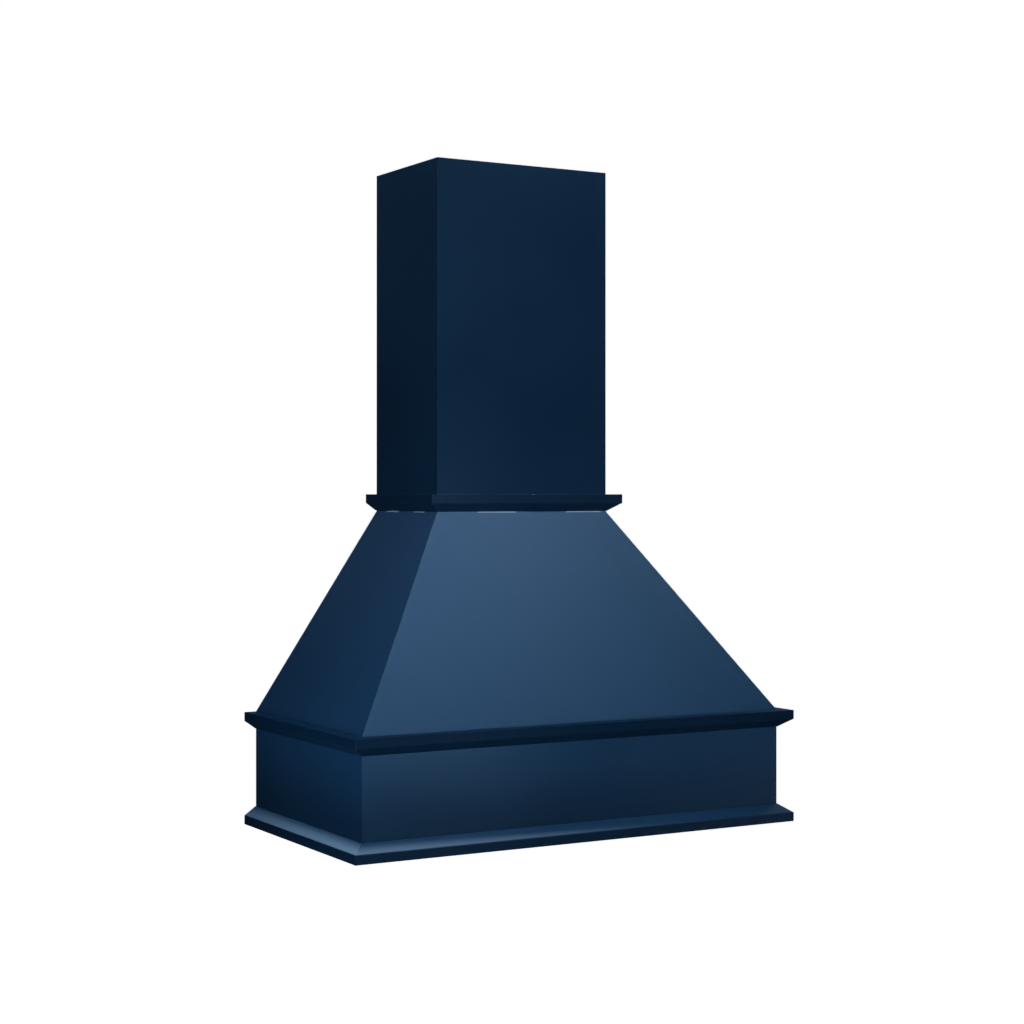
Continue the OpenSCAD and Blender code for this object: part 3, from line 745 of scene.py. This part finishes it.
def rim_of(kind, side):
    """Painted highlight on the rim of a moulding, which only the foot moulding has."""
    if kind != "bottom":
        return None
    if side == "left":
        return LEFT_RIM_START, LEFT_RIM_RISE, LEFT_RIM_FULL, LEFT_RIM_REACH, NAVY_HIGHLIGHT_STRONG
    return RIM_START, RIM_RISE, RIM_FULL, RIM_REACH, NAVY_HIGHLIGHT


def moulding(node):
    """Painted solid moulding, with bare end grain at the wall."""
    mesh = hull_of(node)
    kind = node.split("_")[0]
    side = node.split("_")[-1]
    out = OUTWARDS[side]
    turn = own_axes(UP.cross(out), out)
    middle = sum((v.co for v in mesh.verts), Vector()) / len(mesh.verts)

    def hidden(face):
        return is_mitre(face) or face.normal.dot(out) < -FACING

    soften(mesh, TRIM_ARRIS, hidden)
    for face in mesh.faces:
        if hidden(face) or face.normal.dot(TO_WALL) > FACING:
            face.material_index = 1
        elif face.normal.z > LEDGE_FACING:
            face.material_index = 2
    painted_shade, gloss_level = TRIMS[kind]
    thing = piece(node, mesh, [
        paint("navy_" + node, turn, painted_shade, rim_of(kind, side), gloss_level=gloss_level),
        poplar("bare_" + node, turn, middle),
        paint("ledge_" + node, turn, LEDGE_FADE, gloss_level=LEDGE_GLOSS_LEVEL, dullness=LEDGE_DULLNESS),
    ])
    # The photo shows no shadow under the collar
    thing.visible_shadow = kind != "collar"


# Solid rails and cleats keep their CAD shape


def rail(node, grain, number, painted_below=None):
    """Gives a rail or cleat its wood, with the rings' pith below its upper or front face."""
    out = UP if abs(grain.z) < UPRIGHT_SHARE else OUTWARDS["front"]
    turn = own_axes(grain, (out - grain * grain.dot(out)).normalized())
    low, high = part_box(node)
    slots = NODES[node].data.materials
    finish = poplar("poplar_" + node, turn, (low + high) / 2, number, painted_below)
    slots.clear()
    slots.append(finish)


def grain_of(node):
    """Direction of a rail's length: the longest side of its box, or the hip for the hip cleats."""
    low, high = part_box(node)
    if node.startswith("hip_cleat"):
        side = -1 if node.endswith("left") else 1
        foot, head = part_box("apron_front"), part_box("stack_front")
        run = Vector((side * (head[1].x - foot[1].x), head[0].y - foot[0].y, high.z - low.z))
        return run.normalized()
    size = high - low
    axis = max(range(3), key=lambda i: size[i])
    return Vector([1.0 if i == axis else 0.0 for i in range(3)])


# Screws


def screw_places(node):
    """Head centre, direction and length of each screw of a CAD node."""
    mesh = bmesh.new()
    mesh.from_mesh(NODES[node].data)
    bmesh.ops.remove_doubles(mesh, verts=mesh.verts[:], dist=MATCH_REACH)
    left = set(mesh.verts)
    found = []
    while left:
        island = set()
        front = [next(iter(left))]
        while front:
            vertex = front.pop()
            if vertex not in island:
                island.add(vertex)
                front.extend(e.other_vert(vertex) for e in vertex.link_edges)
        left -= island
        points = np.array(sorted(tuple(v.co) for v in island), float)
        centre = points.mean(0)
        # The longest way through the points is the screw's axis
        axis = np.linalg.eigh(np.cov((points - centre).T))[1][:, -1]
        along = (points - centre) @ axis
        radius = np.linalg.norm(points - centre - np.outer(along, axis), axis=1)
        if along[radius.argmax()] > 0:
            axis, along = -axis, -along
        found.append((centre + axis * along.min(), axis, along.max() - along.min()))
    mesh.free()
    return sorted(found, key=lambda place: tuple(np.round(place[0], SORT_DECIMALS)))


SIDES = 24
HEAD_R = 0.0044
HEAD_H = 0.002
SHANK_R = 0.0021
# Profile of the head: heights below its top and radii
HEAD_PROFILE = (
    (0.0, HEAD_R * 0.72),
    (0.0002, HEAD_R * 0.93),
    (0.0006, HEAD_R),
    (HEAD_H, HEAD_R),
    (HEAD_H, SHANK_R),
)
# Square recess: half its width at the top, the share of that at its floor, and its depth and lip
RECESS = 0.00155
RECESS_FLOOR_SHARE = 0.85
RECESS_DEPTH = 0.0013
RECESS_LIP = 0.0001
THREAD_DEPTH = 0.0006
THREAD_PITCH = 0.0024
THREAD_STEP = 0.0006
# Share of the length that has no thread
PLAIN_SHARE = 0.35
POINT_LENGTH = 0.004
POINT_R = 0.0003


def screw_rings(length):
    """Rings of a screw from the recess in its head to its point: height and radius at each side."""
    turns = np.linspace(0, 2 * math.pi, SIDES, endpoint=False)
    round_ring = np.ones(SIDES)
    square = 1 / np.maximum(abs(np.cos(turns)), abs(np.sin(turns)))
    rings = [(RECESS_DEPTH, RECESS * RECESS_FLOOR_SHARE * square), (RECESS_LIP, RECESS * square)]
    for height, radius in HEAD_PROFILE:
        rings.append((height, radius * round_ring))
    height = HEAD_H + THREAD_STEP
    while height < length:
        taper = min(1.0, (length - height) / POINT_LENGTH)
        phase = (height / THREAD_PITCH + turns / (2 * math.pi)) % 1.0
        threaded = height > PLAIN_SHARE * length
        groove = THREAD_DEPTH * (1 - np.abs(2 * phase - 1)) if threaded else 0.0
        rings.append((height, np.maximum((SHANK_R - groove) * taper, POINT_R) * round_ring))
        height += THREAD_STEP
    return turns, rings


def screw_mesh(places):
    """All the screws of one node as one mesh."""
    mesh = bmesh.new()
    for head, axis, length in places:
        along = Vector(axis)
        side = along.orthogonal().normalized()
        other = along.cross(side)
        turns, rings = screw_rings(length)
        rows = []
        for height, radii in rings:
            rows.append([
                mesh.verts.new(
                    Vector(head) + along * height
                    + side * (r * math.cos(t)) + other * (r * math.sin(t))
                )
                for t, r in zip(turns, radii)
            ])
        mesh.faces.new(rows[0])
        for upper, lower in zip(rows, rows[1:]):
            for i in range(SIDES):
                j = (i + 1) % SIDES
                mesh.faces.new((upper[i], upper[j], lower[j], lower[i]))
        mesh.faces.new(list(reversed(rows[-1])))
    bmesh.ops.recalc_face_normals(mesh, faces=mesh.faces[:])
    return mesh


# The scene


def add_camera():
    """Level camera at the photo's angle."""
    data = bpy.data.cameras.new("camera")
    data.lens = LENS
    data.sensor_width = SENSOR
    data.shift_x, data.shift_y = CAMERA_SHIFT
    data.clip_end = CAMERA_REACH
    camera = bpy.data.objects.new("camera", data)
    camera.location = CAMERA_PLACE
    camera.rotation_euler = (math.radians(90), 0, CAMERA_YAW)
    bpy.context.scene.collection.objects.link(camera)
    bpy.context.scene.camera = camera


def add_world():
    """A dim even sky, which the backdrop hides from the camera."""
    world = bpy.data.worlds.new("studio")
    bpy.context.scene.world = world
    world.use_nodes = True
    sky = world.node_tree.nodes["Background"]
    sky.inputs["Color"].default_value = (*SKY, 1.0)
    sky.inputs["Strength"].default_value = SKY_STRENGTH


def softbox(name, place, target, size, power, tint):
    """Square lamp, found by direct sampling alone, so that the collar's shadow stays away."""
    data = bpy.data.lights.new(name, "AREA")
    data.shape = "SQUARE"
    data.size = size
    data.color = tint
    data.energy = power
    data.cycles.use_multiple_importance_sampling = False
    light = bpy.data.objects.new(name, data)
    light.location = place
    direction = Vector(target) - Vector(place)
    light.rotation_euler = direction.to_track_quat("-Z", "Y").to_euler()
    light.visible_camera = False
    bpy.context.scene.collection.objects.link(light)


def stage_piece(name, mesh):
    """Part of the studio: pale, evenly lit, and neither reflected nor lighting the cover."""
    data = bpy.data.meshes.new(name)
    mesh.to_mesh(data)
    mesh.free()
    thing = bpy.data.objects.new(name, data)
    finish = Finish(name + "_pale")
    speckle = finish.noise(finish.point(), SPECKLE_SCALE, 3.0)
    data.materials.append(finish.wire(
        Base_Color=finish.mix(speckle, STAGE_GREY, STAGE_PALE),
        Roughness=STAGE_ROUGHNESS,
        Emission_Color=(*STAGE_GLOW, 1.0),
        Emission_Strength=1.0,
    ))
    bpy.context.scene.collection.objects.link(thing)
    thing.visible_diffuse = False
    thing.visible_glossy = False
    thing.visible_shadow = False


def add_studio():
    """Floor well below the cover, which hangs on a wall in use, and a round backdrop."""
    floor = bmesh.new()
    bmesh.ops.create_grid(floor, x_segments=1, y_segments=1, size=STUDIO_SIZE)
    bmesh.ops.translate(floor, verts=floor.verts[:], vec=(0, 0, FLOOR_Z))
    stage_piece("floor", floor)
    backdrop = bmesh.new()
    bmesh.ops.create_uvsphere(
        backdrop, u_segments=2 * BACKDROP_ROWS, v_segments=BACKDROP_ROWS, radius=STUDIO_SIZE
    )
    stage_piece("backdrop", backdrop)


def main():
    bpy.context.scene.view_settings.view_transform = "Standard"
    add_camera()
    add_world()
    add_studio()
    for lamp in LAMPS:
        softbox(*lamp)

    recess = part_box("insert_frame_front")[0].z
    for side in OUTWARDS:
        board("apron_" + side, False, recess)
        board("taper_" + side, True)
        board("stack_" + side, True)
        for trim in ("bottom_moulding_", "middle_moulding_", "collar_moulding_"):
            moulding(trim + side)
    screws = [n for n in NODES if n.endswith("_screws")]
    plating = zinc("zinc_plating")
    for node in screws:
        piece(node, screw_mesh(screw_places(node)), [plating])
    done = {r for o in bpy.context.scene.objects for r in o.get("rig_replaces", [])}
    wooden = sorted(n for n in NODES if n not in done)
    for number, node in enumerate(wooden):
        low = node.startswith("insert_frame") or node == "wall_rail_bottom"
        rail(node, grain_of(node), number, recess + PAINT_OVERLAP if low else None)


main()
